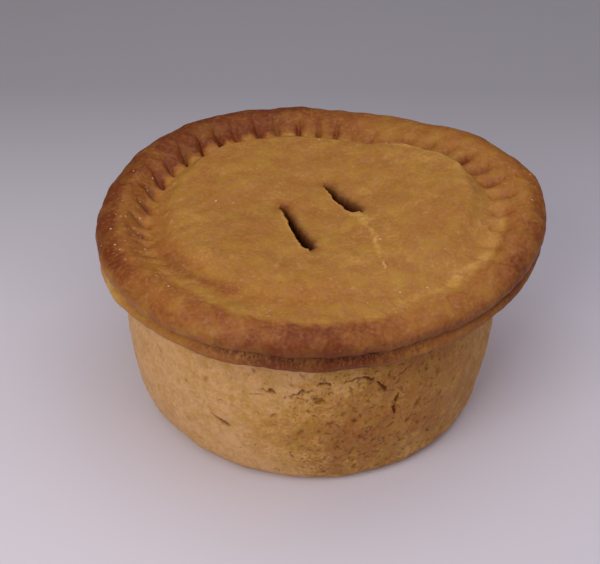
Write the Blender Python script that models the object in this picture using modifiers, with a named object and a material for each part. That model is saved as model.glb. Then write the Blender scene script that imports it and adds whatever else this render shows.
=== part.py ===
"""A raised pork pie, about 100 mm across, as one solid of hot-water-crust pastry.

The pie is turned first: one outline, from the middle of the lid out over the rim, down the wall and
under the base, spun about Z. The turned blank is then made uneven the way hands and the oven do it:
waves in the rim's spread and height, finger crimps in the valley inside the rim, swellings in the lid,
and two steam vents cut through the lid. Metres in Blender, millimetres in the sizes below, +Z up.
The pie stands on its flat base, with the origin on the table under the middle of its outline.
"""

import math

import bmesh
import bpy
from mathutils import Matrix

MM = 0.001
TINY = 0.01 * MM

# Driving sizes, in millimetres.
RIM_RADIUS = 50.0  # the outermost crust, before its waves
CREST_RADIUS = 44.8
CREST_HEIGHT = 49.0
ROLL_HEIGHT = 45.3  # the widest part of the lid's rolled edge
SEAM_HEIGHT = 43.2  # where the lid's edge sits on the case's edge
SEAM_DEPTH = 1.4
LIP_THICKNESS = 4.3  # the case's edge, below the seam
LIP_RADIUS = 49.7
LIP_ROUNDING = 3.4
NECK_RADIUS = 41.2  # the wall, just under the rim
NECK_HEIGHT = 37.4
BELLY_RADIUS = 43.9  # the wall, half way up
FOOT_RADIUS = 40.6
FOOT_ROUNDING = 2.5
WALL_TRIMS = (  # degrees from +X, mm off the wall
    (0, 1.1), (60, 0.4), (120, 0.0), (165, -0.6), (210, -0.7), (240, 0.0), (300, 0.5), (335, 1.1),
)
TRIM_START, TRIM_END, TRIM_FADE = 0.0, 42.0, 7.0  # heights between which the wall is trimmed, and the fade at each

# The lid inside the rim.
VALLEY_RADIUS = 39.0
VALLEY_HEIGHT = 45.5
LID_HEIGHT = 47.0
LID_EDGE_RADIUS = 38.4
LID_SHOULDERS = (  # how far in from its edge the lid takes to rise, by angle: short is a crisp edge
    (0, 5.0), (20, 3.0), (45, 2.0), (90, 5.0), (130, 3.0), (180, 6.0), (225, 9.0), (270, 12.0), (310, 9.0),
)
VALLEY_SHIFTS = (  # how far outwards the valley lies, by angle
    (0, 0.8), (20, -0.6), (40, -3.6), (60, -6.0), (85, -4.0), (105, -2.0), (130, -1.2), (190, -0.6), (225, 0.0),
    (330, 0.8),
)
VALLEY_REACHES = (17.0, 9.0)  # how far inwards and outwards of the valley the crust moves with it

# The crimps: finger marks in the valley, each a dent with a low ridge on either side.
CRIMPS = 46
FIRST_CRIMP = 2.6  # degrees from +X
COLUMNS = 4 * CRIMPS
CRIMP_WIDTH = 3.2  # from the valley, inwards and outwards
CRIMP_DEPTHS = (  # degrees anticlockwise from +X, mm
    (0, 1.4), (30, 1.4), (62, 0.6), (90, 1.6), (150, 2.0), (195, 1.6), (235, 0.6), (275, 0.5), (305, 0.4), (335, 0.6),
)
VALLEY_FILLS = (  # how much of the valley is filled level, by angle
    (0, 0.7), (25, 0.5), (70, 0.5), (110, 0.3), (180, 0.1), (225, 0.8), (280, 0.9), (320, 0.8),
)

# Waves round the rim: how many, how far in mm, and the angle of a crest in degrees.
SPREAD_WAVES = ((2, 1.6, 0.0), (3, 1.7, 7.0), (4, 0.4, 0.0))
HEIGHT_WAVES = ((1, 1.3, -17.0), (2, 1.0, 45.0), (3, 1.3, 12.0))

# Swellings of the lid: centre x and y, half-widths along x and y, and rise, in mm.
LID_SWELLINGS = ((-21.0, 3.0, 15.0, 24.0, 1.6), (27.0, 2.0, 14.0, 26.0, 2.6))

# Steam vents: points along the cut's middle, each with the cut's half-width there, in mm.
VENTS = {
    "vent_left": (
        (-7.5, 1.7, 0.4), (-6.0, -3.0, 0.8), (-4.5, -7.0, 0.8), (-3.1, -10.6, 1.05), (-1.9, -13.8, 1.4),
        (-1.0, -16.4, 0.7),
    ),
    "vent_right": (
        (2.7, 11.0, 0.4), (3.8, 8.0, 0.65), (5.3, 5.0, 0.75), (7.0, 2.5, 0.95), (8.7, 0.1, 1.25), (9.8, -1.5, 1.0),
    ),
}
VENT_FLOOR = 40.0
VENT_TOP = 56.0

CRUST_COLOUR = (0.42, 0.21, 0.062, 1.0)
CRUST_ROUGHNESS = 0.55


def smooth(share):
    """0 below 0, 1 above 1, and an even S between."""
    share = min(max(share, 0.0), 1.0)
    return share * share * (3.0 - 2.0 * share)


def round_the_rim(table, angle):
    """The table's value at an angle in radians, passing smoothly from one entry to the next."""
    degrees = math.degrees(angle) % 360.0
    entries = list(table) + [(table[0][0] + 360.0, table[0][1])]
    for (before, low), (after, high) in zip(entries, entries[1:]):
        if before <= degrees <= after:
            return low + (high - low) * smooth((degrees - before) / (after - before))
    raise ValueError("the table starts at 0 degrees")


def waves(table, angle, reach):
    """The sum of a table's waves; each dies away towards the axis, the fast ones first."""
    return sum(size * reach**count * math.cos(count * (angle - math.radians(crest))) for count, size, crest in table)


def arc(centre_r, centre_z, half_r, half_z, start, end, steps):
    """Points of an elliptical arc, in degrees from outwards, anticlockwise."""
    points = []
    for step in range(steps + 1):
        turn = math.radians(start + (end - start) * step / steps)
        points.append((centre_r + half_r * math.cos(turn), centre_z + half_z * math.sin(turn)))
    return points


def wall_radius(height):
    """The wall is a barrel: a parabola through the foot, the belly and the neck."""
    share = height / NECK_HEIGHT
    foot = FOOT_RADIUS * (1.0 - share) * (1.0 - 2.0 * share)
    belly = BELLY_RADIUS * 4.0 * share * (1.0 - share)
    neck = NECK_RADIUS * share * (2.0 * share - 1.0)
    return foot + belly + neck


def outline():
    """Radius and height of the turned blank, from the lid's middle to the base's."""
    lid = [(radius, LID_HEIGHT) for radius in (0.0, 9.0, 19.0, 28.0, 34.5)]
    valley = [(37.2, VALLEY_HEIGHT), (VALLEY_RADIUS, VALLEY_HEIGHT), (40.8, VALLEY_HEIGHT + 0.7), (42.8, 48.2)]
    roll = arc(CREST_RADIUS, ROLL_HEIGHT, RIM_RADIUS - CREST_RADIUS, CREST_HEIGHT - ROLL_HEIGHT, 90.0, -25.0, 4)
    seam = [(RIM_RADIUS - SEAM_DEPTH, SEAM_HEIGHT)]
    lip_middle = SEAM_HEIGHT - LIP_THICKNESS / 2
    lip = arc(LIP_RADIUS - LIP_ROUNDING, lip_middle, LIP_ROUNDING, LIP_THICKNESS / 2, 45.0, -75.0, 3)
    wall = [(wall_radius(NECK_HEIGHT * share), NECK_HEIGHT * share) for share in (1.0, 0.78, 0.55, 0.32, 0.15)]
    foot = arc(FOOT_RADIUS - FOOT_ROUNDING, FOOT_ROUNDING, FOOT_ROUNDING, FOOT_ROUNDING, 0.0, -90.0, 2)
    return lid + valley + roll + seam + lip + wall + foot + [(0.0, 0.0)]


def lid_rise(x, y, angle, radius):
    """How far the lid stands above the valley here."""
    rise = LID_HEIGHT - VALLEY_HEIGHT
    for centre_x, centre_y, half_x, half_y, swelling in LID_SWELLINGS:
        rise += swelling * math.exp(-(((x - centre_x) / half_x) ** 2) - ((y - centre_y) / half_y) ** 2)
    return rise * smooth((LID_EDGE_RADIUS - radius) / round_the_rim(LID_SHOULDERS, angle))


def crimp_dent(angle, radius):
    """How deep a finger mark is here."""
    across = math.cos(CRIMPS * (angle - math.radians(FIRST_CRIMP)))
    along = 1.0 - abs(radius - VALLEY_RADIUS) / CRIMP_WIDTH
    return round_the_rim(CRIMP_DEPTHS, angle) * across * smooth(along)


def moved_out(angle, radius, z):
    """How far outwards a point of the blank moves: the valley wanders, and the wall is trimmed on the right."""
    if z > SEAM_HEIGHT:
        reach = VALLEY_REACHES[0] if radius < VALLEY_RADIUS else VALLEY_REACHES[1]
        return round_the_rim(VALLEY_SHIFTS, angle) * smooth(1.0 - abs(radius - VALLEY_RADIUS) / reach)
    fades = smooth((z - TRIM_START) / TRIM_FADE) * smooth((TRIM_END - z) / TRIM_FADE)
    return -round_the_rim(WALL_TRIMS, angle) * fades


def baked(x, y, z):
    """Where a point of the turned blank ends up."""
    angle = math.atan2(y, x)
    radius = math.hypot(x, y)
    outward = moved_out(angle, radius, z)
    if z > SEAM_HEIGHT and radius < CREST_RADIUS:
        hollow = CREST_HEIGHT - VALLEY_HEIGHT
        depth = hollow * smooth((CREST_RADIUS - radius) / (CREST_RADIUS - VALLEY_RADIUS))
        z = CREST_HEIGHT - depth * (1.0 - round_the_rim(VALLEY_FILLS, angle) * smooth(radius / VALLEY_RADIUS))
        z += lid_rise(x, y, angle, radius) - crimp_dent(angle, radius)
    reach = min(radius / CREST_RADIUS, 1.0)
    share = min(z / SEAM_HEIGHT, 1.0) ** 2
    spread = 1.0 + share * waves(SPREAD_WAVES, angle, reach) / RIM_RADIUS + outward / max(radius, 1.0)
    return x * spread, y * spread, z + share * waves(HEIGHT_WAVES, angle, reach)


def crust_material():
    material = bpy.data.materials.new("hot_water_crust")
    material.use_nodes = True
    shader = material.node_tree.nodes["Principled BSDF"]
    shader.inputs["Base Color"].default_value = CRUST_COLOUR
    shader.inputs["Roughness"].default_value = CRUST_ROUGHNESS
    shader.inputs["Metallic"].default_value = 0.0
    return material


def turned_blank():
    """The outline as a row of edges, spun about Z, as a plain mesh with a crimp on every fourth column."""
    mesh = bpy.data.meshes.new("outline")
    points = [(radius * MM, 0.0, height * MM) for radius, height in outline()]
    mesh.from_pydata(points, [(i, i + 1) for i in range(len(points) - 1)], [])
    blank = bpy.data.objects.new("outline", mesh)
    bpy.context.scene.collection.objects.link(blank)
    screw = blank.modifiers.new("turned", "SCREW")
    screw.axis = "Z"
    screw.angle = math.tau
    screw.steps = COLUMNS
    screw.render_steps = COLUMNS
    screw.use_merge_vertices = True
    screw.merge_threshold = TINY
    spun = bpy.data.meshes.new_from_object(blank.evaluated_get(bpy.context.evaluated_depsgraph_get()))
    bpy.data.objects.remove(blank)
    spun.transform(Matrix.Rotation(math.radians(FIRST_CRIMP), 4, "Z"))
    return spun


def middle(mesh, axis):
    values = [vertex.co[axis] for vertex in mesh.vertices]
    return (min(values) + max(values)) / 2.0


def pie(collection, material):
    """The whole pie, with the middle of its outline over the origin."""
    mesh = turned_blank()
    mesh.name = "pork_pie"
    for vertex in mesh.vertices:
        vertex.co = [MM * value for value in baked(*(vertex.co / MM))]
    mesh.shade_smooth()
    mesh.materials.clear()
    mesh.materials.append(material)
    body = bpy.data.objects.new("pork_pie", mesh)
    collection.objects.link(body)
    body.location = (-middle(mesh, 0), -middle(mesh, 1), 0.0)
    return body


def vent_cutter(name, route, body, collection):
    """A flat blade: the cut's outline as a filled curve, extruded through the lid."""
    left, right = [], []
    for index, (x, y, half_width) in enumerate(route):
        before = route[max(index - 1, 0)]
        after = route[min(index + 1, len(route) - 1)]
        run_x, run_y = after[0] - before[0], after[1] - before[1]
        length = math.hypot(run_x, run_y)
        across_x, across_y = -run_y / length * half_width, run_x / length * half_width
        left.append((x + across_x, y + across_y))
        right.append((x - across_x, y - across_y))
    edge = right + left[::-1]
    curve = bpy.data.curves.new(name, "CURVE")
    curve.dimensions = "2D"
    curve.fill_mode = "BOTH"
    curve.extrude = (VENT_TOP - VENT_FLOOR) / 2.0 * MM
    spline = curve.splines.new("POLY")
    spline.points.add(len(edge) - 1)
    for point, (x, y) in zip(spline.points, edge):
        point.co = (x * MM, y * MM, 0.0, 1.0)
    spline.use_cyclic_u = True
    guide = bpy.data.objects.new(name + "_guide", curve)
    bpy.context.scene.collection.objects.link(guide)
    mesh = bpy.data.meshes.new_from_object(guide.evaluated_get(bpy.context.evaluated_depsgraph_get()))
    bpy.data.objects.remove(guide)
    shape = bmesh.new()
    shape.from_mesh(mesh)
    bmesh.ops.remove_doubles(shape, verts=shape.verts, dist=TINY)
    bmesh.ops.recalc_face_normals(shape, faces=shape.faces)
    shape.to_mesh(mesh)
    shape.free()
    cutter = bpy.data.objects.new(name, mesh)
    cutter.parent = body
    cutter.location = (0.0, 0.0, (VENT_TOP + VENT_FLOOR) / 2.0 * MM)
    cutter.hide_render = True
    cutter.display_type = "WIRE"
    collection.objects.link(cutter)
    return cutter


def main():
    for old in list(bpy.data.objects):
        bpy.data.objects.remove(old)
    parts = bpy.data.collections.new("pork_pie")
    cutters = bpy.data.collections.new("cutters")
    cutters.hide_render = True
    bpy.context.scene.collection.children.link(parts)
    bpy.context.scene.collection.children.link(cutters)
    body = pie(parts, crust_material())
    for name, route in VENTS.items():
        cut = body.modifiers.new(name, "BOOLEAN")
        cut.operation = "DIFFERENCE"
        cut.solver = "EXACT"
        cut.object = vent_cutter(name, route, body, cutters)


main()
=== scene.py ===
# %% [markdown]
# # A raised pork pie
#
# A raised pie is two pieces of hot-water-crust pastry round a solid filling. The *case* is a cup of
# pastry raised by hand, with a barrel-shaped wall. The *lid* is laid over it, and its edge is rolled
# over the case's edge and pinched, which leaves a thick rim, a seam under it and a ring of finger marks
# inside it. Two cuts in the lid let the steam out. This lesson turns both pieces, crimps and shapes them,
# bakes their colour, with some painted shade, and sets them in the box of the CAD model that holds the pie's
# real size.

# %% Load the frame
import functools
import math

import bmesh
import bpy
import numpy as np
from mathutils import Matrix, Vector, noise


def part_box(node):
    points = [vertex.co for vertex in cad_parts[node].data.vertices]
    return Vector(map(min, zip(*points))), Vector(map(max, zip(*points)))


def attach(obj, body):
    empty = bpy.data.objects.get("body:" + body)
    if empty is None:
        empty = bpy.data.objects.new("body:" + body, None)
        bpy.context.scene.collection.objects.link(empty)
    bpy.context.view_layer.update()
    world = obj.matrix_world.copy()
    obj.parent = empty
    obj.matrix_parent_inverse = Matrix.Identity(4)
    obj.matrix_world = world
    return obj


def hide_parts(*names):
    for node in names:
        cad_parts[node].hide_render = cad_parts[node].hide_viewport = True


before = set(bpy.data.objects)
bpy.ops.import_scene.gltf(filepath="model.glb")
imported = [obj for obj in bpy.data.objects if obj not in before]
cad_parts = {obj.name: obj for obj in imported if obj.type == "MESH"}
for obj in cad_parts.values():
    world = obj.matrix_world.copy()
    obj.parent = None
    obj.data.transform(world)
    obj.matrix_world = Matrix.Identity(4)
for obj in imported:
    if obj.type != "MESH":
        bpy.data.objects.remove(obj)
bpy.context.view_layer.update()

MM = 0.001
PIE = "pork_pie"
ROOT = "root"
low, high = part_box(PIE)
print("CAD solid:", [round(side / MM, 1) for side in high - low], "mm")

# %% [markdown]
# ## Small helpers for nodes
#
# Node trees are easier to read when one line makes one node. `add` makes a node, sets its properties,
# and plugs values or other nodes' outputs into its inputs, in order, or by name where they come in a
# dict. `rgb` turns an sRGB hex colour, as a paint picker shows it, into the linear values that Blender's
# sockets want. The others open and close a geometry tree, use it on a piece, and begin a material.

# %% Node helpers
def rgb(code):
    """A linear RGBA colour from an sRGB hex code such as "#c89050"."""
    shares = [int(code[i : i + 2], 16) / 255 for i in (1, 3, 5)]
    linear = [s / 12.92 if s <= 0.04045 else ((s + 0.055) / 1.055) ** 2.4 for s in shares]
    return (*linear, 1.0)


def add(tree, kind, *values, **settings):
    """A node with its settings. Values fill its inputs: numbers, or the outputs of other nodes."""
    node = tree.nodes.new(kind)
    for name, value in settings.items():
        setattr(node, name, value)
    named = values[0] if values and isinstance(values[0], dict) else dict(enumerate(values))
    for key, value in named.items():
        if isinstance(value, bpy.types.Node):
            value = next(out for out in value.outputs if out.enabled)
        if isinstance(value, bpy.types.NodeSocket):
            tree.links.new(value, node.inputs[key])
        else:
            node.inputs[key].default_value = value
    return node


def new_tree(name, sockets):
    """A geometry tree with a geometry in and out, and a named input for each (name, kind, value)."""
    tree = bpy.data.node_groups.new(name, "GeometryNodeTree")
    tree.interface.new_socket("Geometry", in_out="INPUT", socket_type="NodeSocketGeometry")
    tree.interface.new_socket("Geometry", in_out="OUTPUT", socket_type="NodeSocketGeometry")
    for title, kind, value in sockets:
        socket = tree.interface.new_socket(title, in_out="INPUT", socket_type="NodeSocket" + kind)
        if value is not None:
            socket.default_value = value
    return tree, tree.nodes.new("NodeGroupInput"), tree.nodes.new("NodeGroupOutput")


def close_tree(tree, given, result, shape):
    """Every tree ends alike: its instances become real, and all of it gets the material."""
    real = add(tree, "GeometryNodeRealizeInstances", shape)
    dressed = add(tree, "GeometryNodeSetMaterial", {"Geometry": real, "Material": given.outputs["Material"]})
    tree.links.new(dressed.outputs[0], result.inputs[0])
    return tree


def use_tree(piece, tree, **values):
    """The tree as a modifier on the piece, with inputs set by their sockets' identifiers."""
    modifier = piece.modifiers.new(tree.name, "NODES")
    modifier.node_group = tree
    for item in tree.interface.items_tree:
        key = item.name.lower().replace(" ", "_")
        if item.in_out == "INPUT" and key in values:
            modifier[item.identifier] = values.pop(key)
    assert not values, f"{tree.name} has no input named {list(values)}"


def freeze(piece):
    """Replaces the piece's mesh by what its modifiers make of it, and removes them."""
    bpy.context.view_layer.update()
    mesh = bpy.data.meshes.new_from_object(piece.evaluated_get(bpy.context.evaluated_depsgraph_get()))
    piece.modifiers.clear()
    piece.data = mesh
    return mesh


def new_material(name):
    """A material, the `node` that adds to its tree, a point's place in metres, and its shader."""
    material = bpy.data.materials.new(name)
    material.use_nodes = True
    node = functools.partial(add, material.node_tree)
    place = node("ShaderNodeTexCoord").outputs["Object"]
    return material, node, place, material.node_tree.nodes["Principled BSDF"]


def set_stops(ramp, stops):
    """Gives a Color Ramp its (position, hex colour) stops, and returns its colour."""
    elements = ramp.color_ramp.elements
    while len(elements) < len(stops):
        elements.new(0.5)
    for element, (position, colour) in zip(elements, stops):
        element.position, element.color = position, rgb(colour)
    return ramp.outputs["Color"]


def put(name, data):
    """An object with this mesh, light or camera, in the scene."""
    piece = bpy.data.objects.new(name, data)
    bpy.context.scene.collection.objects.link(piece)
    return piece


# %% [markdown]
# ## The outline of each piece
#
# A pie is raised round a block and turned by hand, so each piece starts as a turned shape: an outline
# spun round a middle axis. The outline is a row of (radius, height) points in millimetres. Its rings
# lie close together where the crust shows fine marks, and far apart where nothing shows. The sizes are
# those of the CAD solid.

# %% Sizes in millimetres
RIM_RADIUS = 50.0
CREST_RADIUS, CREST_HEIGHT = 44.8, 49.0
ROLL_HEIGHT = 45.3
SEAM_HEIGHT, SEAM_DEPTH = 43.2, 1.4
LIP_RADIUS, LIP_THICKNESS, LIP_ROUNDING = 49.7, 4.3, 3.4
NECK_RADIUS, NECK_HEIGHT = 41.2, 37.4
BELLY_RADIUS = 43.9
FOOT_RADIUS, FOOT_ROUNDING = 40.6, 2.5
VALLEY_RADIUS, VALLEY_HEIGHT = 39.0, 45.5
LID_HEIGHT = 47.0
LID_EDGE_RADIUS = 38.4
FINE, COARSE = 0.32, 0.46  # spacing of the rings
CASE_COLUMNS = 720


def smooth(share):
    """0 below 0, 1 above 1, and an even S between."""
    share = np.clip(share, 0.0, 1.0)
    return share * share * (3.0 - 2.0 * share)


def line(start, end, spacing):
    """Points from start up to, and without, end."""
    steps = max(1, round(math.dist(start, end) / spacing))
    return [tuple(np.array(start) + (np.array(end) - start) * step / steps) for step in range(steps)]


def arc(centre, halves, first, last, spacing):
    """Points of an elliptical arc from the first angle to the last, in degrees from outwards."""
    turns = np.radians(np.linspace(first, last, 200))
    points = np.stack([centre[0] + halves[0] * np.cos(turns), centre[1] + halves[1] * np.sin(turns)], 1)
    run = np.concatenate([[0], np.cumsum(np.linalg.norm(np.diff(points, axis=0), axis=1))])
    marks = np.linspace(0, run[-1], max(2, round(run[-1] / spacing)))
    return [(np.interp(mark, run, points[:, 0]), np.interp(mark, run, points[:, 1])) for mark in marks]


def valley_drop(radius):
    """How far the top has fallen from the crest of the rim to here, going inwards."""
    return (CREST_HEIGHT - VALLEY_HEIGHT) * smooth((CREST_RADIUS - radius) / (CREST_RADIUS - VALLEY_RADIUS))


def wall_radius(height):
    """The wall is a barrel: a parabola through the foot, the belly and the neck."""
    share = height / NECK_HEIGHT
    foot = FOOT_RADIUS * (1.0 - share) * (1.0 - 2.0 * share)
    belly = BELLY_RADIUS * 4.0 * share * (1.0 - share)
    return foot + belly + NECK_RADIUS * share * (2.0 * share - 1.0)


def lid_outline():
    """From the middle of the lid, over the rim, into the seam, and back under the lid."""
    top = line((0.0, 0.0), (30.0, 0.0), COARSE) + line((30.0, 0.0), (CREST_RADIUS, 0.0), FINE)
    top = [(radius, CREST_HEIGHT - valley_drop(radius)) for radius, _ in top]
    halves = (RIM_RADIUS - CREST_RADIUS, CREST_HEIGHT - ROLL_HEIGHT)
    roll = arc((CREST_RADIUS, ROLL_HEIGHT), halves, 90.0, -25.0, FINE)
    seam = line(roll[-1], (RIM_RADIUS - SEAM_DEPTH, SEAM_HEIGHT), FINE)[1:]
    hidden = [(RIM_RADIUS - SEAM_DEPTH, SEAM_HEIGHT), (46.0, 42.6), (40.0, 40.0), (20.0, 34.0), (0.0, 34.0)]
    return top + roll + seam + hidden


def case_outline():
    """From the middle of the base, up the wall, round the lip, and down inside."""
    base = [(0.0, 0.0), (20.0, 0.0), (34.0, 0.0)]
    foot_middle = (FOOT_RADIUS - FOOT_ROUNDING, FOOT_ROUNDING)
    foot = arc(foot_middle, (FOOT_ROUNDING, FOOT_ROUNDING), -90.0, 0.0, 0.5)
    heights = [height for _, height in line((0.0, FOOT_ROUNDING), (0.0, NECK_HEIGHT - 1.5), 0.42)][1:]
    wall = [(wall_radius(height), height) for height in heights]
    lip_middle = (LIP_RADIUS - LIP_ROUNDING, SEAM_HEIGHT - LIP_THICKNESS / 2)
    lip = arc(lip_middle, (LIP_ROUNDING, LIP_THICKNESS / 2), -80.0, 45.0, FINE)
    under = line(wall[-1], (43.4, 38.3), 0.5)[1:] + line((43.4, 38.3), lip[0], 0.5)
    seam = line(lip[-1], (RIM_RADIUS - SEAM_DEPTH, SEAM_HEIGHT), FINE)[1:]
    hidden = [(RIM_RADIUS - SEAM_DEPTH, SEAM_HEIGHT), (46.0, 41.8), (38.0, 32.0), (0.0, 32.0)]
    return base + foot + wall + under + lip + seam + hidden


def outline_piece(name, points):
    """The outline as a row of vertices in the XZ plane, ready to be turned."""
    mesh = bpy.data.meshes.new(name)
    mesh.from_pydata([(radius * MM, 0.0, height * MM) for radius, height in points], [], [])
    return put(name, mesh)


lid = outline_piece("lid_crust", lid_outline())
case = outline_piece("case_crust", case_outline())
print("rings:", len(lid.data.vertices), "on the lid,", len(case.data.vertices), "on the case")

# %% [markdown]
# ## Turning the outline with Geometry Nodes
#
# Screw could spin the outline, but it crowds all its columns into the middle of the lid. A square grid
# pulled into a disc does better: the ring of cells round the middle gets 8 cells, the next 16, and so
# on, so that cells keep about the same size from the middle to the rim. The case has no such middle in
# sight, so its grid is simply rolled into a tube. One tree does both, because only the way from a grid
# point to its angle and its ring differs. Each grid point then takes the radius and height of the
# outline point with its ring's number.

# %% The turning tree
def turning_tree(name, pulled):
    """Turns the outline: a square grid pulled into a disc, or a grid rolled into a tube."""
    tree, given, result = new_tree(name, [
        ("Columns", "Int", 100), ("Rings", "Int", 100), ("Material", "Material", None),
    ])
    node = functools.partial(add, tree)
    count, rings = given.outputs["Columns"], given.outputs["Rings"]
    columns = node("ShaderNodeMath", count, 1.0, operation="ADD")
    grid = node("GeometryNodeMeshGrid", 2.0, 2.0, columns, columns if pulled else rings)
    across = node("ShaderNodeSeparateXYZ", node("GeometryNodeInputPosition"))
    if pulled:
        angle = node("ShaderNodeMath", across.outputs["Y"], across.outputs["X"], operation="ARCTAN2")
        far_x = node("ShaderNodeMath", across.outputs["X"], operation="ABSOLUTE")
        far_y = node("ShaderNodeMath", across.outputs["Y"], operation="ABSOLUTE")
        share = node("ShaderNodeMath", far_x, far_y, operation="MAXIMUM")
    else:
        angle = node("ShaderNodeMath", across.outputs["X"], math.pi, operation="MULTIPLY")
        share = node("ShaderNodeMath", across.outputs["Y"], 0.5, 0.5, operation="MULTIPLY_ADD")
    last = node("ShaderNodeMath", rings, 1.0, operation="SUBTRACT")
    ring = node("ShaderNodeMath", share, last, operation="MULTIPLY")
    ring = node("ShaderNodeMath", ring, operation="ROUND")
    point = node(
        "GeometryNodeSampleIndex",
        {"Geometry": given.outputs["Geometry"], "Value": node("GeometryNodeInputPosition"), "Index": ring},
        data_type="FLOAT_VECTOR", domain="POINT",
    )
    outline = node("ShaderNodeSeparateXYZ", point)
    spoke = node("ShaderNodeCombineXYZ", outline.outputs["X"], 0.0, outline.outputs["Z"])
    place = node(
        "ShaderNodeVectorRotate", {"Vector": spoke, "Axis": (0.0, 0.0, 1.0), "Angle": angle},
        rotation_type="AXIS_ANGLE",
    )
    turned = node("GeometryNodeSetPosition", {"Geometry": grid, "Position": place})
    closed = node("GeometryNodeMergeByDistance", {"Geometry": turned, "Distance": 0.01 * MM})
    return close_tree(tree, given, result, closed)


# The lid's grid has two columns for each ring, so that every ring is a whole square of cells.
lid_rings, case_rings = len(lid.data.vertices), len(case.data.vertices)
use_tree(lid, turning_tree("Turned lid", True), columns=2 * (lid_rings - 1), rings=lid_rings)
use_tree(case, turning_tree("Turned case", False), columns=CASE_COLUMNS, rings=case_rings)

# %% [markdown]
# ## Finger crimps
#
# The rim is pinched with a finger about every 6 mm. Each mark is a short groove on the inner side of the
# rim: deepest at its inner end, where the fingertip stopped against the lid, and running out towards the
# crest. On the left the fingers came in at a slant, and along the front they hardly pressed. A repeating
# mark is a job for Geometry Nodes: the angle of a point tells which mark it is nearest to and how far it is
# from the middle of it, and random values that follow the mark's number make each mark its own. Two Float
# Curves hold how the depth and the slant change round the rim.

# %% The crimping tree
CRIMPS = 46
FIRST_CRIMP = 2.6  # degrees
# Angle in degrees anticlockwise from +X, and a share of the deepest mark.
CRIMP_DEPTHS = (
    (0, 0.85), (20, 0.95), (45, 0.65), (62, 0.25), (80, 0.7), (105, 0.75), (135, 1.0), (165, 0.85),
    (195, 0.6), (215, 0.12), (250, 0.06), (300, 0.04), (328, 0.12), (346, 0.5),
)
# Angle in degrees, and a share of the steepest slant.
CRIMP_SLANTS = ((0, 0.1), (60, 0.0), (100, 0.1), (145, 0.7), (185, 1.0), (215, 0.8), (250, 0.2), (300, 0.0))


def round_curve(tree, share, table):
    """A Float Curve over the share of a full turn, closed so that its ends meet."""
    node = add(tree, "ShaderNodeFloatCurve", {"Value": share})
    curve = node.mapping.curves[0]
    curve.points[0].location = (0.0, table[0][1])
    curve.points[1].location = (1.0, table[0][1])
    for degrees, value in table[1:]:
        curve.points.new(degrees / 360.0, value)
    node.mapping.update()
    return node


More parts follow.
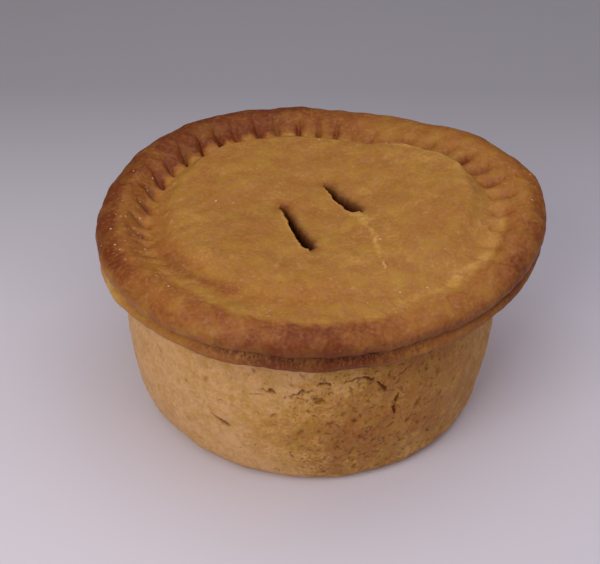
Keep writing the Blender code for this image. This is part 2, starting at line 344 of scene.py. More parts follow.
def crimping_tree():
    """Presses one finger mark after another into the valley inside the rim."""
    tree, given, result = new_tree("Finger crimps", [
        ("Count", "Int", 46), ("First angle", "Float", 0.0), ("Radius", "Float", 0.039),
        ("Deepest", "Float", 0.002), ("Width", "Float", 0.0014), ("Length", "Float", 0.006),
        ("Slant", "Float", 0.8), ("Seed", "Int", 0), ("Material", "Material", None),
    ])
    node = functools.partial(add, tree)
    count, seed = given.outputs["Count"], given.outputs["Seed"]

    # Which mark this point is nearest to, and how far it lies beside the mark's middle, in pitches.
    place = node("ShaderNodeSeparateXYZ", node("GeometryNodeInputPosition"))
    angle = node("ShaderNodeMath", place.outputs["Y"], place.outputs["X"], operation="ARCTAN2")
    turn = node("ShaderNodeMath", angle, math.tau, operation="DIVIDE")
    share = node("ShaderNodeMath", turn, 1.0, operation="FLOORED_MODULO")
    first = node("ShaderNodeMath", given.outputs["First angle"], math.tau, operation="DIVIDE")
    passed = node("ShaderNodeMath", share, first, operation="SUBTRACT")
    passed = node("ShaderNodeMath", passed, count, operation="MULTIPLY")
    nearest = node("ShaderNodeMath", passed, operation="ROUND")
    number = node("ShaderNodeMath", nearest, count, operation="FLOORED_MODULO")
    beside = node("ShaderNodeMath", passed, nearest, operation="SUBTRACT")

    # Four random values that follow the mark's number: its place, slant, width and depth.
    draws = []
    for offset, (lowest, highest) in enumerate(((-0.1, 0.1), (-0.15, 0.15), (0.75, 1.25), (0.6, 1.2))):
        own = node("ShaderNodeMath", seed, offset, operation="ADD")
        draws.append(node("FunctionNodeRandomValue", {2: lowest, 3: highest, "ID": number, "Seed": own}))
    shift, turn_more, wider, deeper = draws

    # The groove's cross-section is a pointed bell. It leans by the slant on its way outwards.
    flat = node("ShaderNodeCombineXYZ", place.outputs["X"], place.outputs["Y"], 0.0)
    radius = node("ShaderNodeVectorMath", flat, operation="LENGTH").outputs["Value"]
    outward = node("ShaderNodeMath", radius, given.outputs["Radius"], operation="SUBTRACT")
    around = node("ShaderNodeMath", radius, math.tau, operation="MULTIPLY")
    pitch = node("ShaderNodeMath", around, count, operation="DIVIDE")
    slant = node("ShaderNodeMath", round_curve(tree, share, CRIMP_SLANTS), turn_more, operation="ADD")
    slant = node("ShaderNodeMath", slant, given.outputs["Slant"], operation="MULTIPLY")
    beside = node("ShaderNodeMath", beside, shift, operation="SUBTRACT")
    beside = node("ShaderNodeMath", beside, pitch, operation="MULTIPLY")
    across = node("ShaderNodeMath", outward, slant, beside, operation="MULTIPLY_ADD")
    width = node("ShaderNodeMath", given.outputs["Width"], wider, operation="MULTIPLY")
    across = node("ShaderNodeMath", across, width, operation="DIVIDE")
    across = node("ShaderNodeMath", across, operation="ABSOLUTE")
    steep = node("ShaderNodeMath", across, 1.2, operation="POWER")
    steep = node("ShaderNodeMath", steep, -1.0, operation="MULTIPLY")
    bell = node("ShaderNodeMath", steep, operation="EXPONENT")
    bell = node("ShaderNodeMath", bell, 0.15, operation="SUBTRACT")

    # It starts at the lid's edge and runs out towards the crest.
    length, fade = given.outputs["Length"], "SMOOTHERSTEP"
    starts = node("ShaderNodeMapRange", outward, -1.6 * MM, 0.3 * MM, interpolation_type=fade)
    ends = node("ShaderNodeMapRange", outward, length, 0.2 * MM, interpolation_type=fade)
    window = node("ShaderNodeMath", starts, ends, operation="MULTIPLY")
    on_top = node("ShaderNodeMath", place.outputs["Z"], SEAM_HEIGHT * MM, operation="GREATER_THAN")
    depth = node("ShaderNodeMath", round_curve(tree, share, CRIMP_DEPTHS), deeper, operation="MULTIPLY")
    dent = bell
    for factor in (window, depth, on_top):
        dent = node("ShaderNodeMath", dent, factor, operation="MULTIPLY")
    sink = node("ShaderNodeMath", dent, given.outputs["Deepest"], operation="MULTIPLY")
    sink = node("ShaderNodeMath", sink, -1.0, operation="MULTIPLY")
    offset = node("ShaderNodeCombineXYZ", 0.0, 0.0, sink)
    pressed = node("GeometryNodeSetPosition", {"Geometry": given.outputs["Geometry"], "Offset": offset})
    kept = node(
        "GeometryNodeStoreNamedAttribute", {"Geometry": pressed, "Name": "dent", "Value": dent},
        data_type="FLOAT", domain="POINT",
    )
    return close_tree(tree, given, result, kept)


use_tree(
    lid, crimping_tree(), count=CRIMPS, first_angle=math.radians(FIRST_CRIMP), radius=VALLEY_RADIUS * MM,
    deepest=2.8 * MM, width=0.85 * MM, length=6.0 * MM, slant=0.9, seed=3,
)
for piece in (lid, case):
    mesh = freeze(piece)
    print(piece.name, "turned:", len(mesh.vertices), "vertices,", 2 * len(mesh.polygons), "triangles")

# %% [markdown]
# ## Making it uneven
#
# No raised pie is round. Its rim spreads and rises in a few slow waves, the lid swells into two cushions
# with a dip between them, and the valley is nearly filled along the front. These are the CAD solid's own
# numbers. The points are moved with numpy, because a handful of plain formulas over all vertices at once
# is the shortest way to write them.

# %% Waves, swellings and the filled valley
SPREAD_WAVES = ((2, 1.6, 0.0), (3, 1.7, 7.0), (4, 0.4, 0.0))  # how many, how far, where the crest is
HEIGHT_WAVES = ((1, 1.3, -17.0), (2, 1.0, 45.0), (3, 1.3, 12.0))
VALLEY_FILLS = ((0, 0.7), (25, 0.5), (70, 0.5), (110, 0.3), (180, 0.1), (225, 0.8), (280, 0.9), (320, 0.8))
LID_SHOULDERS = (  # angle, then how far in from its edge the lid takes to rise: short is a crisp edge
    (0, 5.0), (20, 3.0), (45, 2.0), (90, 5.0), (130, 3.0), (180, 6.0), (225, 9.0), (270, 12.0), (310, 9.0),
)
VALLEY_SHIFTS = (  # angle, then how far outwards the valley lies
    (0, 0.8), (20, -0.6), (40, -3.6), (60, -6.0), (85, -4.0), (105, -2.0), (130, -1.2), (190, -0.6),
    (225, 0.0), (330, 0.8),
)
VALLEY_REACHES = (17.0, 9.0)  # how far inwards and outwards of it the crust is drawn along
WALL_TRIMS = (  # angle, then how much slimmer the wall is there
    (0, 1.1), (60, 0.4), (120, 0.0), (165, -0.6), (210, -0.7), (240, 0.0), (300, 0.5), (335, 1.1),
)
TRIM_START, TRIM_END, TRIM_FADE = 0.0, 42.0, 7.0  # heights
LID_SWELLINGS = ((-21.0, 3.0, 15.0, 24.0, 1.6), (27.0, 2.0, 14.0, 26.0, 2.6))  # x, y, half-widths, rise


def get_points(mesh):
    """The vertices in millimetres, one row each."""
    flat = np.empty(3 * len(mesh.vertices), np.float32)
    mesh.vertices.foreach_get("co", flat)
    return flat.reshape(-1, 3).astype(float) / MM


def set_points(mesh, points):
    """Moves the vertices to these places in millimetres."""
    mesh.vertices.foreach_set("co", (points * MM).astype(np.float32).ravel())
    mesh.update()


def set_attribute(mesh, name, values):
    """Keeps one number per vertex under a name that the trees and the material can read."""
    attribute = mesh.attributes.get(name) or mesh.attributes.new(name, "FLOAT", "POINT")
    attribute.data.foreach_set("value", np.asarray(values, np.float32))


def get_attribute(mesh, name):
    """The numbers kept under this name, one per vertex."""
    values = np.empty(len(mesh.vertices), np.float32)
    mesh.attributes[name].data.foreach_get("value", values)
    return values.astype(float)


def round_the_rim(table, angle):
    """The table's value at each angle in radians, passing smoothly from one entry to the next."""
    degrees = np.degrees(angle) % 360.0
    marks = np.array([entry[0] for entry in table] + [table[0][0] + 360.0])
    values = np.array([entry[1] for entry in table] + [table[0][1]])
    index = np.clip(np.searchsorted(marks, degrees, side="right") - 1, 0, len(table) - 1)
    share = smooth((degrees - marks[index]) / (marks[index + 1] - marks[index]))
    return values[index] + (values[index + 1] - values[index]) * share


def bump(value, middle, reach):
    """1 where the value is at the middle, falling smoothly to 0 at the reach on either side."""
    return smooth(1.0 - np.abs(value - middle) / reach)


def waves(table, angle, reach):
    """The sum of a table's waves; each dies away towards the axis, the fast ones first."""
    total = 0.0
    for count, size, crest in table:
        total = total + size * reach**count * np.cos(count * (angle - math.radians(crest)))
    return total


def lid_rise(x, y, angle, radius):
    """How far the lid stands above the valley."""
    rise = LID_HEIGHT - VALLEY_HEIGHT
    for centre_x, centre_y, half_x, half_y, swelling in LID_SWELLINGS:
        rise = rise + swelling * np.exp(-(((x - centre_x) / half_x) ** 2) - ((y - centre_y) / half_y) ** 2)
    return rise * smooth((LID_EDGE_RADIUS - radius) / round_the_rim(LID_SHOULDERS, angle))


def moved_out(angle, radius, z):
    """How far outwards a point moves: the valley wanders, and the wall is slimmer on the right."""
    reach = np.where(radius < VALLEY_RADIUS, *VALLEY_REACHES)
    valley = round_the_rim(VALLEY_SHIFTS, angle) * bump(radius, VALLEY_RADIUS, reach)
    fades = smooth((z - TRIM_START) / TRIM_FADE) * smooth((TRIM_END - z) / TRIM_FADE)
    return np.where(z > SEAM_HEIGHT, valley, -round_the_rim(WALL_TRIMS, angle) * fades)


def raise_pie(points):
    """Where the points of the turned blank end up."""
    x, y, z = points.T
    angle, radius = np.arctan2(y, x), np.hypot(x, y)
    outward = moved_out(angle, radius, z)
    on_top = (z > SEAM_HEIGHT) & (radius < CREST_RADIUS)
    filled = valley_drop(radius) * round_the_rim(VALLEY_FILLS, angle) * smooth(radius / VALLEY_RADIUS)
    z = z + np.where(on_top, filled + lid_rise(x, y, angle, radius), 0.0)
    reach = np.minimum(radius / CREST_RADIUS, 1.0)
    share = np.clip(z / SEAM_HEIGHT, 0.0, 1.0) ** 2
    spread = 1.0 + share * waves(SPREAD_WAVES, angle, reach) / RIM_RADIUS
    spread = spread + outward / np.maximum(radius, 1.0)
    return np.stack([x * spread, y * spread, z + share * waves(HEIGHT_WAVES, angle, reach)], 1)

# %% [markdown]
# ## Where the oven browned it, and where shade is painted
#
# Pastry browns where it is thin, raised, glazed or nearest to the oven's wall, and stays pale in hollows
# and where flour lies on it. One number for each vertex, `bake`, says how far it went: 0 is
# pale dough, 0.4 the golden lid, 1 the nearly burnt edge. The same number also holds painted shade, on the
# slope into the valley at the left front, at the crimps' inner ends on the right and in the crimps' bottoms,
# and later painted shade and highlight at the vents. It is worked out on the turned blank, where angle and
# radius are still simple, and the material turns it to colour later.

# %% Bake and painted shade maps round the rim, by angle in degrees
LID_BAKE = 0.41
RIM_BAKES = (
    (0, 0.76), (30, 0.66), (60, 0.62), (85, 0.88), (110, 1.08), (130, 1.2), (155, 1.14), (180, 1.0),
    (215, 0.8), (235, 0.74), (252, 0.84), (270, 0.98), (285, 0.88), (305, 0.62), (325, 0.72), (340, 0.84),
)
RIM_STARTS = (  # the radius in mm where the rim's browning starts
    (0, 39.5), (30, 38.8), (90, 38.2), (200, 38.4), (225, 40.5), (250, 42.8), (270, 43.4), (300, 43.2),
    (325, 41.8), (345, 40.0),
)
RIM_BANDS = (  # how much darker the rim's outer half is than its crimped inner half
    (0, 0.24), (30, 0.22), (60, 0.1), (100, 0.15), (135, 0.3), (190, 0.34), (212, 0.2), (235, 0.05),
    (275, 0.0), (310, 0.05), (335, 0.15),
)
INNER_HALF, OUTER_HALF = (39.0, 2.0), (44.0, 4.0)  # where each half starts, and over how far
EDGE_BAKES = (  # the rim's outer side
    (0, 0.8), (90, 0.85), (135, 1.0), (180, 0.85), (205, 0.65), (235, 0.75), (268, 1.1), (295, 0.9),
    (330, 0.9),
)
LIP_BAKES = (  # the case's edge under the seam
    (0, 0.95), (90, 0.8), (180, 0.5), (200, 0.15), (228, 0.48), (248, 0.8), (270, 1.1), (300, 0.8),
)
# Painted shade on the slope from the lid down into the valley, mostly at the left front.
VALLEY_SHADES = (
    (0, 0.0), (160, 0.05), (195, 0.3), (220, 0.5), (240, 0.38), (258, 0.12), (300, 0.0), (345, 0.0),
)
# Painted shade: the brown at the crimps' inner ends on the right is shade between lid and rim; the pale is
# flour.
GROOVE_SHADE_AND_FLOUR = (  # the crimps' inner ends: brown on the right, and floury on the left and at the front
    (0, 0.06), (25, 0.2), (50, 0.22), (75, 0.1), (100, 0.0), (175, 0.0), (190, -0.12), (215, 0.0),
    (285, 0.0), (310, -0.12), (333, -0.14), (348, -0.05),
)
LID_EDGE_BAKES = (
    (0, -0.1), (25, -0.16), (55, -0.16), (85, -0.04), (130, -0.08), (180, -0.1), (220, -0.06), (250, 0.0),
    (325, 0.0),
)
VALLEY_BAND, GROOVE_BAND, LID_EDGE_BAND = (36.8, 4.2), (40.0, 2.8), (36.0, 1.4)  # radius and reach
# Painted shade in the bottom of each crimp: the next number is how much darker it is made.
DENT_SHADE = 0.5  # how much browner the bottom of a crimp is
WALL_BAKES = {  # height in mm: (angle, bake) round the wall
    0.0: ((0, 0.12), (90, 0.3), (180, -0.03), (240, -0.02), (262, -0.08), (290, 0.2), (320, 0.22)),
    17.0: ((0, 0.2), (90, 0.32), (180, -0.04), (240, 0.04), (264, 0.34), (288, 0.68), (320, 0.42)),
    33.0: ((0, 0.15), (90, 0.3), (180, -0.08), (240, 0.07), (262, 0.0), (280, 0.08), (300, 0.4)),
}
LID_PATCHES = (  # x, y, radius, more or less bake
    (-23.0, 6.5, 6.0, 0.10), (-14.5, -15.0, 5.0, 0.08), (28.0, -13.0, 6.0, 0.06), (4.0, 22.0, 8.0, 0.03),
    (8.0, -20.0, 9.0, -0.08), (29.0, 18.0, 8.0, -0.05), (-28.0, -4.0, 5.0, -0.04), (-2.0, -2.0, 5.0, 0.04),
)


def ragged(points, size):
    """A smooth random number from -1 to 1 at each point, changing over about the given size in mm."""
    return np.array([noise.noise(Vector(point) / size) for point in points])


def lid_bake_and_shade(piece, points):
    """The lid is golden, and each band round the rim adds its own more or less; some bands are painted shade.
    """
    x, y, z = points.T
    angle, radius = np.arctan2(y, x), np.hypot(x, y)
    rim = round_the_rim(RIM_BAKES, angle) - LID_BAKE
    wander = 0.9 * ragged(points, 5.0) + 0.5 * ragged(points, 1.8)
    bake = LID_BAKE + rim * smooth((radius + wander - round_the_rim(RIM_STARTS, angle)) / 2.4)
    inner, outer = (smooth((radius + wander - start) / run) for start, run in (INNER_HALF, OUTER_HALF))
    bake += round_the_rim(RIM_BANDS, angle) * (outer - 0.5 * inner)
    # Painted shade in the valley at the left front.
    bake += round_the_rim(VALLEY_SHADES, angle) * bump(radius, *VALLEY_BAND)
    # Painted shade at the crimps' inner ends on the right, and flour on the left and at the front.
    bake += round_the_rim(GROOVE_SHADE_AND_FLOUR, angle) * bump(radius + wander, *GROOVE_BAND)
    bake += round_the_rim(LID_EDGE_BAKES, angle) * bump(radius + 0.4 * wander, *LID_EDGE_BAND)
    # Painted shade in the bottoms of the crimps.
    bake += DENT_SHADE * get_attribute(piece.data, "dent")
    for centre_x, centre_y, reach, more in LID_PATCHES:
        bake += more * np.exp(-((x - centre_x) ** 2 + (y - centre_y) ** 2) / reach**2)
    edge = smooth((CREST_HEIGHT - 1.0 - z) / 3.0) * (radius > CREST_RADIUS)
    return bake + (round_the_rim(EDGE_BAKES, angle) - bake) * edge


def case_bake(piece, points):
    """The wall's bake is known at three heights and mixed between them; the lip has its own."""
    x, y, z = points.T
    angle = np.arctan2(y, x)
    heights = sorted(WALL_BAKES)
    levels = np.stack([round_the_rim(WALL_BAKES[height], angle) for height in heights])
    place = np.clip(np.interp(z, heights, range(len(heights))), 0, len(heights) - 1)
    index = np.minimum(place.astype(int), len(heights) - 2)
    rows = np.arange(len(z))
    wall = levels[index, rows] + (levels[index + 1, rows] - levels[index, rows]) * (place - index)
    wander = 1.1 * ragged(points, 2.2) + 0.5 * ragged(points, 0.9)
    lip = smooth((z + wander - NECK_HEIGHT - 0.4) / 1.5)
    return wall + (round_the_rim(LIP_BAKES, angle) - wall) * lip


for piece, bake_and_shade_of in ((lid, lid_bake_and_shade), (case, case_bake)):
    blank = get_points(piece.data)
    bake = bake_and_shade_of(piece, blank)
    set_attribute(piece.data, "bake", bake)
    set_points(piece.data, raise_pie(blank))
    print(piece.name, "bakes from", round(bake.min(), 2), "to", round(bake.max(), 2))

# %% [markdown]
# ## Two vents in the lid
#
# A knife went in twice beside the middle, and the steam pulled the cuts open. Each has one sharp edge,
# where the blade stood, and one soft edge, where the pastry sank. A Boolean would give two equal walls,
# so the cuts are pressed into the surface instead: the cells beside each cut are first divided, then
# every point near its middle line moves down by a profile that is steep on one side and slack on the other.
# The same way, turned upwards, makes the thin folds of glaze, of which one runs on from the right vent.

# %% Pressing the vents
VENTS = (  # x, y, half-width along the cut, in mm
    (
        (-7.5, 1.7, 0.3), (-6.0, -3.0, 0.8), (-4.5, -7.0, 0.9), (-3.1, -10.6, 1.2), (-1.9, -13.8, 1.55),
        (-1.4, -15.6, 1.3),
    ),
    (
        (2.7, 11.0, 0.3), (3.8, 8.0, 0.7), (5.3, 5.0, 0.9), (7.0, 2.5, 1.15), (8.7, 0.1, 1.45),
        (9.5, -1.0, 1.35),
    ),
)
# Painted shade darkens these hollows as well.
LID_DENTS = ((-7.2, 1.6, 2.0, 0.8), (3.6, 11.4, 2.2, 1.1))  # x, y, reach, depth: where the blade first slid
CREASES = (  # x, y, half-width along a fold of the glaze, then its height, in mm
    (
        (
            (8.6, -3.2, 0.4), (10.4, -3.8, 0.5), (11.6, -6.6, 0.8), (12.6, -8.6, 0.6), (13.6, -12.8, 0.45),
            (13.9, -17.5, 0.5), (15.2, -25.0, 0.35),
        ),
        0.3,
    ),
    (((-7.4, -19.5, 0.5), (-7.6, -24.0, 0.5), (-7.3, -31.0, 0.3)), 0.1),
)
MAIN_CREASE = CREASES[0][0]
VENT_DEPTH = 6.0
VENT_REACH = 9.0  # how far off a cut its lips are still bent


def along_route(u, v, route):
    """The distance from the route, positive to the left of its run, and its width where it is nearest."""
    best = np.full(len(u), 1e9)
    signed, width = best.copy(), np.zeros(len(u))
    for (start_u, start_v, start_width), (end_u, end_v, end_width) in zip(route, route[1:]):
        run_u, run_v = end_u - start_u, end_v - start_v
        share = ((u - start_u) * run_u + (v - start_v) * run_v) / (run_u**2 + run_v**2)
        share = np.clip(share, 0.0, 1.0)
        off_u, off_v = u - start_u - share * run_u, v - start_v - share * run_v
        away = np.hypot(off_u, off_v)
        near = away < best
        best = np.where(near, away, best)
        signed = np.where(near, np.where(run_u * off_v - run_v * off_u > 0, away, -away), signed)
        width = np.where(near, start_width + (end_width - start_width) * share, width)
    return signed, width


def divide_near(mesh, flatten, routes, reach):
    """Divides the cells near the routes in three each way. flatten gives two coordinates and a mask."""
    shape = bmesh.new()
    shape.from_mesh(mesh)
    u, v, facing = flatten(np.array([vertex.co for vertex in shape.verts]) / MM)
    near = np.zeros(len(u), bool)
    for route in routes:
        near |= (np.abs(along_route(u, v, route)[0]) < reach) & facing
    edges = [edge for edge in shape.edges if near[edge.verts[0].index] and near[edge.verts[1].index]]
    bmesh.ops.subdivide_edges(shape, edges=edges, cuts=2, use_grid_fill=True)
    shape.to_mesh(mesh)
    shape.free()


def flat_lid(points):
    """The lid seen from above, with the mask of its upper side."""
    return points[:, 0], points[:, 1], points[:, 2] > SEAM_HEIGHT


def press_vents(mesh):
    """Presses both cuts in: a pale lip on the right of a cut's run, flaky crust with a painted highlight, and
    a slope on its left darkened with painted shade.
    """
    points = get_points(mesh)
    x, y, top = flat_lid(points)
    drop, vent, bake = np.zeros(len(points)), np.zeros(len(points)), get_attribute(mesh, "bake")
    for centre_x, centre_y, reach, depth in LID_DENTS:
        hollow = np.exp(-((x - centre_x) ** 2 + (y - centre_y) ** 2) / reach**2) * top
        drop += depth * hollow
        # Painted shade in the hollow where the blade first slid.
        bake += 0.55 * hollow
    for route in VENTS:
        signed, width = along_route(x, y, route)
        near = np.nonzero(top & (np.abs(signed) < VENT_REACH))[0]
        off = signed[near] + 0.3 * ragged(points[near], 1.6) + 0.12 * ragged(points[near], 0.5)
        beyond = np.maximum(np.abs(off) - width[near], 0.0)
        inside = smooth(0.5 - (np.abs(off) - width[near]) / 0.35)
        sunk, raised = 0.5 * np.exp(-beyond / 1.1), -0.3 * np.exp(-beyond / 0.9)
        fade = smooth(width[near] / 0.6)
        drop[near] += (VENT_DEPTH * inside + np.where(off > 0, sunk, raised) * (1.0 - inside)) * fade
        # Painted shade on the sunk slope left of the cut; the vent attribute holds it with the cut's stained
        # inside.
        shaded_slope = np.where(off > 0, 0.7 * np.exp(-((beyond / 1.1) ** 2)), 0.0)
        vent[near] = np.maximum(vent[near], np.maximum(smooth(2.5 * inside), shaded_slope) * fade)
        # The pale lip: flaky crust, with a painted highlight along the sharp edge.
        bake[near] -= 0.12 * bump(-off - width[near], 0.45, 0.5) * fade
    points[:, 2] -= drop
    set_points(mesh, points)
    set_attribute(mesh, "bake", bake)
    return vent


def raise_creases(mesh):
    """Ragged folds of the glaze. The longest runs from the right vent to the front of the lid."""
    points = get_points(mesh)
    bake = get_attribute(mesh, "bake")
    x, y, top = flat_lid(points)
    for route, height in CREASES:
        signed, width = along_route(x, y, route)
        near = np.nonzero(top & (np.abs(signed) < 3.0))[0]
        off = signed[near] + 0.8 * ragged(points[near], 2.4) + 0.3 * ragged(points[near], 0.7)
        broken = np.clip(0.6 + 0.9 * ragged(points[near], 1.8), 0.0, 1.0)
        ridge = np.exp(-((off / width[near]) ** 2)) * broken
        points[near, 2] += height * ridge
        bake[near] -= 1.1 * height * ridge
    set_points(mesh, points)
    set_attribute(mesh, "bake", bake)


divide_near(lid.data, flat_lid, (*VENTS, MAIN_CREASE), 2.4)
vent = press_vents(lid.data)
raise_creases(lid.data)
set_attribute(lid.data, "vent", vent)
print("vents:", int((vent > 0.5).sum()), "points pressed in")

# %% [markdown]
# ## Cracks in the wall, and where pits form
#
# The wall dried faster than the filling swelled, so it split in a few places under the lip. The cracks
# are pressed in along their routes on the unrolled wall. Pits are bubbles that broke through: the next
# step scatters them, and needs to know where they are common. They crowd in the front of the wall and in
# the seam, and are rare on the glazed lid.

# %% Cracks and the pitting map
WALL_CRACKS = (  # a route of (degrees, height in mm, half-width in mm), then its depth in mm
    (((240.0, 18.5, 0.2), (242.0, 17.9, 0.35), (244.3, 17.0, 0.6)), 1.0),
    (((255.8, 29.7, 0.15), (258.5, 29.0, 0.28)), 0.7),
    (((252.8, 28.0, 0.12), (255.0, 28.3, 0.22)), 0.5),
    (((264.0, 28.6, 0.1), (266.5, 29.6, 0.14), (270.0, 29.7, 0.1)), 0.6),
    (((271.5, 31.2, 0.15), (273.0, 31.9, 0.25), (275.2, 31.2, 0.25)), 0.7),
    (((271.0, 27.7, 0.3), (272.4, 27.2, 0.45), (271.6, 26.8, 0.3)), 0.5),
    (((279.5, 31.0, 0.1), (283.0, 31.8, 0.2), (286.0, 31.7, 0.25), (288.2, 30.6, 0.2)), 0.8),
    (((290.0, 29.4, 0.15), (291.5, 28.2, 0.25), (292.4, 27.2, 0.2)), 0.8),
    (((295.5, 29.6, 0.12), (298.5, 30.2, 0.15), (301.0, 31.2, 0.12)), 0.6),
    (((296.2, 24.9, 0.2), (296.0, 23.3, 0.25)), 0.7),
    (((294.8, 22.0, 0.25), (295.2, 20.6, 0.3)), 0.7),
    (((205.0, 31.2, 0.1), (209.5, 30.7, 0.12)), 0.4),
    (((216.0, 29.6, 0.12), (219.5, 28.2, 0.2)), 0.5),
    (((30.0, 27.0, 0.2), (36.0, 28.5, 0.3), (41.0, 27.6, 0.2)), 0.8),
    (((118.0, 22.0, 0.2), (122.0, 20.6, 0.35)), 0.8),
    (((150.0, 30.0, 0.15), (157.0, 31.2, 0.2), (161.0, 30.4, 0.15)), 0.7),
)
WALL_PITTING = (
    (0, 0.45), (60, 0.35), (120, 0.35), (180, 0.12), (225, 0.15), (252, 0.4), (272, 1.0), (300, 1.0),
    (325, 0.55),
)
SEAM_TICKS = (
    (0, 0.0), (60, 0.1), (120, 0.1), (200, 0.0), (236, 0.15), (256, 0.9), (278, 1.0), (296, 0.4), (312, 0.0),
)


def flat_wall(points):
    """The wall unrolled at the belly's radius, with the mask of what can be seen of it."""
    x, y, z = points.T
    around = np.arctan2(y, x) % math.tau * BELLY_RADIUS
    return around, z, (np.hypot(x, y) > FOOT_RADIUS - 2.0) & (z < SEAM_HEIGHT)


def unrolled(route):
    """The route with its angles as mm along the unrolled wall."""
    return [(math.radians(degrees) * BELLY_RADIUS, height, width) for degrees, height, width in route]


def press_cracks(mesh):
    """Presses the cracks towards the axis, and gives how much painted shade each point gets in it."""
    points = get_points(mesh)
    around, z, facing = flat_wall(points)
    pressed = np.zeros(len(points))
    for route, depth in WALL_CRACKS:
        signed, width = along_route(around, z, unrolled(route))
        near = np.nonzero(facing & (np.abs(signed) < 2.5))[0]
        off = np.abs(signed[near] + 0.5 * ragged(points[near], 1.5) + 0.2 * ragged(points[near], 0.5))
        pressed[near] = np.maximum(pressed[near], depth * smooth(1.3 - off / (1.5 * width[near])))
    radius = np.maximum(np.hypot(points[:, 0], points[:, 1]), 1.0)
    points[:, :2] *= (1.0 - pressed / radius)[:, None]
    set_points(mesh, points)
    return np.clip(pressed / 0.7, 0.0, 1.0)


def pitting(points):
    """How common pits are, from 0 to 1."""
    x, y, z = points.T
    angle, radius = np.arctan2(y, x), np.hypot(x, y)
    wall = (z < NECK_HEIGHT + 1.0) & (z > 0.6) & (radius > FOOT_RADIUS - 2.0)
    rim = (radius > 40.0) & (z > NECK_HEIGHT)
    return round_the_rim(WALL_PITTING, angle) * wall + 0.04 * rim


def ticks(points):
    """Where the dough split into short upright cracks as it was pinched, along the seam."""
    x, y, z = points.T
    angle = np.arctan2(y, x)
    height = z - waves(HEIGHT_WAVES, angle, 1.0)
    return round_the_rim(SEAM_TICKS, angle) * bump(height, SEAM_HEIGHT - 0.7, 2.0) * (np.hypot(x, y) > 44.0)


divide_near(case.data, flat_wall, [unrolled(route) for route, _ in WALL_CRACKS], 1.0)
set_attribute(case.data, "crack", press_cracks(case.data))
set_attribute(case.data, "vent", np.zeros(len(case.data.vertices)))
set_attribute(lid.data, "crack", np.zeros(len(lid.data.vertices)))
for piece in (lid, case):
    points = get_points(piece.data)
    set_attribute(piece.data, "pitting", pitting(points))
    set_attribute(piece.data, "ticks", ticks(points))

# %% [markdown]
# ## The crust's own surface
#
# Close up, baked dough is never smooth: it is gently lumpy over some millimetres, grainy below that, and
# pitted where bubbles broke. This tree adds all three to either piece. It scatters pit centres with the
# `pitting` map as their density, and each vertex looks up the pit nearest to it, so that one lookup
# serves hundreds of pits. The depth that it pressed is kept as an attribute, because the material paints
# shade into the pits.

# %% The surface tree
def surface_tree():
    """Lumps, grain and pits on a crust."""
    tree, given, result = new_tree("Crust surface", [
        ("Lumps", "Float", 0.0003), ("Lump size", "Float", 0.012), ("Grain", "Float", 0.0001),
        ("Grain size", "Float", 0.002), ("Pits", "Float", 40000.0), ("Pit radius", "Float", 0.0006),
        ("Pit depth", "Float", 0.0005), ("Seed", "Int", 0), ("Material", "Material", None),
    ])
    node = functools.partial(add, tree)
    crust, seed = given.outputs["Geometry"], given.outputs["Seed"]
    position = node("GeometryNodeInputPosition")

    # Noise at two sizes, kept out of the vents.
    vent, common = (
        node("GeometryNodeInputNamedAttribute", {"Name": name}, data_type="FLOAT").outputs["Attribute"]
        for name in ("vent", "pitting")
    )
    relief = 0.0
    for title, detail in (("Lump", 1.0), ("Grain", 3.0)):
        scale = node("ShaderNodeMath", 1.0, given.outputs[title + " size"], operation="DIVIDE")
        texture = node("ShaderNodeTexNoise", {"Vector": position, "Scale": scale, "Detail": detail})
        height = given.outputs["Lumps" if title == "Lump" else title]
        centred = node("ShaderNodeMath", texture.outputs[0], 0.5, operation="SUBTRACT")
        relief = node("ShaderNodeMath", centred, height, relief, operation="MULTIPLY_ADD")
    outside = node("ShaderNodeMath", 1.0, vent, operation="SUBTRACT")
    relief = node("ShaderNodeMath", relief, outside, operation="MULTIPLY")

    # Pits: each vertex asks for the nearest scattered point, and how far off it is in pit radii.
    density = node("ShaderNodeMath", common, given.outputs["Pits"], operation="MULTIPLY")
    points = node("GeometryNodeDistributePointsOnFaces", {"Mesh": crust, "Density": density, "Seed": seed})
    nearest = node("GeometryNodeSampleNearest", {"Geometry": points})
    centre = node(
        "GeometryNodeSampleIndex", {"Geometry": points, "Value": position, "Index": nearest},
        data_type="FLOAT_VECTOR", domain="POINT",
    )
    draw = node("FunctionNodeRandomValue", {2: 0.0, 3: 1.0, "ID": nearest, "Seed": seed})
    rare = node("ShaderNodeMath", draw, 3.0, operation="POWER")
    share = node("ShaderNodeMath", rare, 1.5, 0.6, operation="MULTIPLY_ADD")
    size = node("ShaderNodeMath", share, given.outputs["Pit radius"], operation="MULTIPLY")
    away = node("ShaderNodeVectorMath", position, centre, operation="DISTANCE").outputs["Value"]
    away = node("ShaderNodeMath", away, size, operation="DIVIDE")
    ragged_scale = node("ShaderNodeMath", 1.0, given.outputs["Pit radius"], operation="DIVIDE")
    edge = node("ShaderNodeTexNoise", {"Vector": position, "Scale": ragged_scale, "Detail": 0.0})
    away = node("ShaderNodeMath", edge.outputs[0], 0.5, away, operation="MULTIPLY_ADD")
    pit = node("ShaderNodeMapRange", away, 1.3, 0.4, interpolation_type="SMOOTHSTEP")
    depth = node("ShaderNodeMath", share, given.outputs["Pit depth"], operation="MULTIPLY")
    depth = node("ShaderNodeMath", depth, pit, operation="MULTIPLY")

    move = node("ShaderNodeMath", relief, depth, operation="SUBTRACT")
    normal = node("GeometryNodeInputNormal")
    offset = node("ShaderNodeVectorMath", {0: normal, "Scale": move}, operation="SCALE")
    moved = node("GeometryNodeSetPosition", {"Geometry": crust, "Offset": offset})
    kept = node(
        "GeometryNodeStoreNamedAttribute", {"Geometry": moved, "Name": "pit", "Value": pit},
        data_type="FLOAT", domain="POINT",
    )
    shaded = node("GeometryNodeSetShadeSmooth", {"Geometry": kept, "Shade Smooth": True})
    return close_tree(tree, given, result, shaded)
